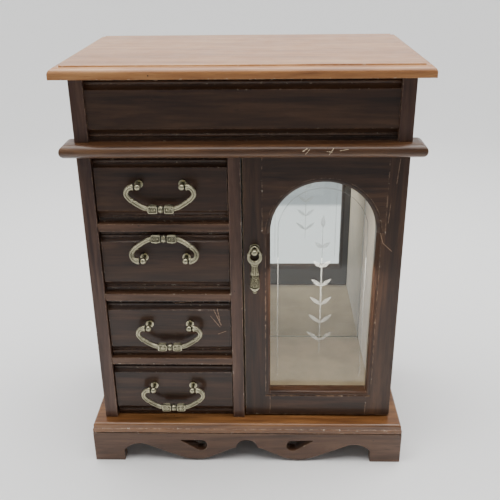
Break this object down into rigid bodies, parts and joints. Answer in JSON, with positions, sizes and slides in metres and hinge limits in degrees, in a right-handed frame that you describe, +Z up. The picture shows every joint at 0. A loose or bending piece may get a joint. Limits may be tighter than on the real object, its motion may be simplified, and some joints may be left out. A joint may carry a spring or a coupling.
{
  "type": "jewelry armoire",
  "caption": "Table-top jewelry armoire with stacked drawers, a glazed door with a mirror-backed compartment, a lined tray under a hinged lid and a bracket-foot plinth.",
  "frame": {"origin": "on the floor, at the middle of the lid's footprint", "axes": "+X to the right seen from the front, +Y to the back, +Z up"},
  "size_m": [0.283, 0.1806, 0.36],
  "materials": {
    "dark_wood": "glossy dark walnut-stained varnish, rubbed edges",
    "lid_wood": "glossy, lighter walnut",
    "plinth_wood": "satin walnut stain",
    "inner_wood": "plain unvarnished inner wood",
    "antique_brass": "antique, dark patina in the recesses",
    "steel": "plain",
    "glass": "clear with an etched pattern",
    "mirror": "silvered",
    "felt": "beige velvet",
    "magnet_case": "dark brown moulded"
  },
  "bodies": {
    "case": {"back_panel": "inner_wood", "base_board": "plinth_wood", "centre_partition": "dark_wood", "compartment_lining": "felt", "compartment_mirror": "mirror", "deck_board": "dark_wood", "door_catch": "magnet_case", "door_pivot_bushes": "antique_brass", "drawer_rails": "dark_wood", "hinge_leaves_case": "antique_brass", "hinge_screws_case": "antique_brass", "lid_hinge_pins": "antique_brass", "necklace_hooks": "antique_brass", "necklace_rail": "inner_wood", "plinth_back": "plinth_wood", "plinth_corner_blocks": "inner_wood", "plinth_front": "plinth_wood", "plinth_side_left": "plinth_wood", "plinth_side_right": "plinth_wood", "ring_rolls": "felt", "side_panel_left": "dark_wood", "side_panel_right": "dark_wood", "tray_back": "dark_wood", "tray_dividers": "felt", "tray_front": "dark_wood", "tray_lining": "felt", "tray_side_left": "dark_wood", "tray_side_right": "dark_wood", "waist_moulding": "dark_wood"},
    "lid": {"hinge_leaves_lid": "antique_brass", "hinge_screws_lid": "antique_brass", "lid_board": "lid_wood", "lid_mirror": "mirror", "lid_mirror_frame": "lid_wood"},
    "door": {"door_glass": "glass", "door_glass_bead": "dark_wood", "door_pivot_pins": "steel", "door_pull_post": "antique_brass", "door_rail_bottom": "dark_wood", "door_rail_top": "dark_wood", "door_stile_left": "dark_wood", "door_stile_right": "dark_wood", "door_strike": "steel"},
    "door_drop": {"door_pull_drop": "antique_brass"},
    "drawer_1": {"drawer_1_box": "inner_wood", "drawer_1_front": "dark_wood", "drawer_1_posts": "antique_brass"},
    "bail_1": {"drawer_1_bail": "antique_brass"},
    "drawer_2": {"drawer_2_box": "inner_wood", "drawer_2_front": "dark_wood", "drawer_2_posts": "antique_brass"},
    "bail_2": {"drawer_2_bail": "antique_brass"},
    "drawer_3": {"drawer_3_box": "inner_wood", "drawer_3_front": "dark_wood", "drawer_3_posts": "antique_brass"},
    "bail_3": {"drawer_3_bail": "antique_brass"},
    "drawer_4": {"drawer_4_box": "inner_wood", "drawer_4_front": "dark_wood", "drawer_4_posts": "antique_brass"},
    "bail_4": {"drawer_4_bail": "antique_brass"}
  },
  "joints": [
    {"name": "lid_hinge", "type": "hinge", "parent": "case", "child": "lid", "pos_m": [0, 0.08055, 0.3505], "axis": [-1, 0, 0], "range_deg": [0, 98]},
    {"name": "door_pivot", "type": "hinge", "parent": "case", "child": "door", "pos_m": [0.1255, -0.06875, 0.041], "axis": [0, 0, 1], "range_deg": [0, 108]},
    {"name": "door_drop_swing", "type": "hinge", "parent": "door", "child": "door_drop", "pos_m": [0.0085, -0.07845, 0.2124], "axis": [-1, 0, 0], "range_deg": [-2, 85]},
    {"name": "drawer_1_slide", "type": "slide", "parent": "case", "child": "drawer_1", "axis": [0, -1, 0], "range_m": [0, 0.1]},
    {"name": "bail_1_swing", "type": "hinge", "parent": "drawer_1", "child": "bail_1", "pos_m": [-0.0655, -0.08425, 0.26631], "axis": [-1, 0, 0], "range_deg": [-13, 194]},
    {"name": "drawer_2_slide", "type": "slide", "parent": "case", "child": "drawer_2", "axis": [0, -1, 0], "range_m": [0, 0.1]},
    {"name": "bail_2_swing", "type": "hinge", "parent": "drawer_2", "child": "bail_2", "pos_m": [-0.0655, -0.08425, 0.20244], "axis": [-1, 0, 0], "range_deg": [-207, 0]},
    {"name": "drawer_3_slide", "type": "slide", "parent": "case", "child": "drawer_3", "axis": [0, -1, 0], "range_m": [0, 0.1]},
    {"name": "bail_3_swing", "type": "hinge", "parent": "drawer_3", "child": "bail_3", "pos_m": [-0.0655, -0.08425, 0.13856], "axis": [-1, 0, 0], "range_deg": [-13, 194]},
    {"name": "drawer_4_slide", "type": "slide", "parent": "case", "child": "drawer_4", "axis": [0, -1, 0], "range_m": [0, 0.1]},
    {"name": "bail_4_swing", "type": "hinge", "parent": "drawer_4", "child": "bail_4", "pos_m": [-0.0655, -0.08425, 0.07469], "axis": [-1, 0, 0], "range_deg": [-13, 194]}
  ]
}
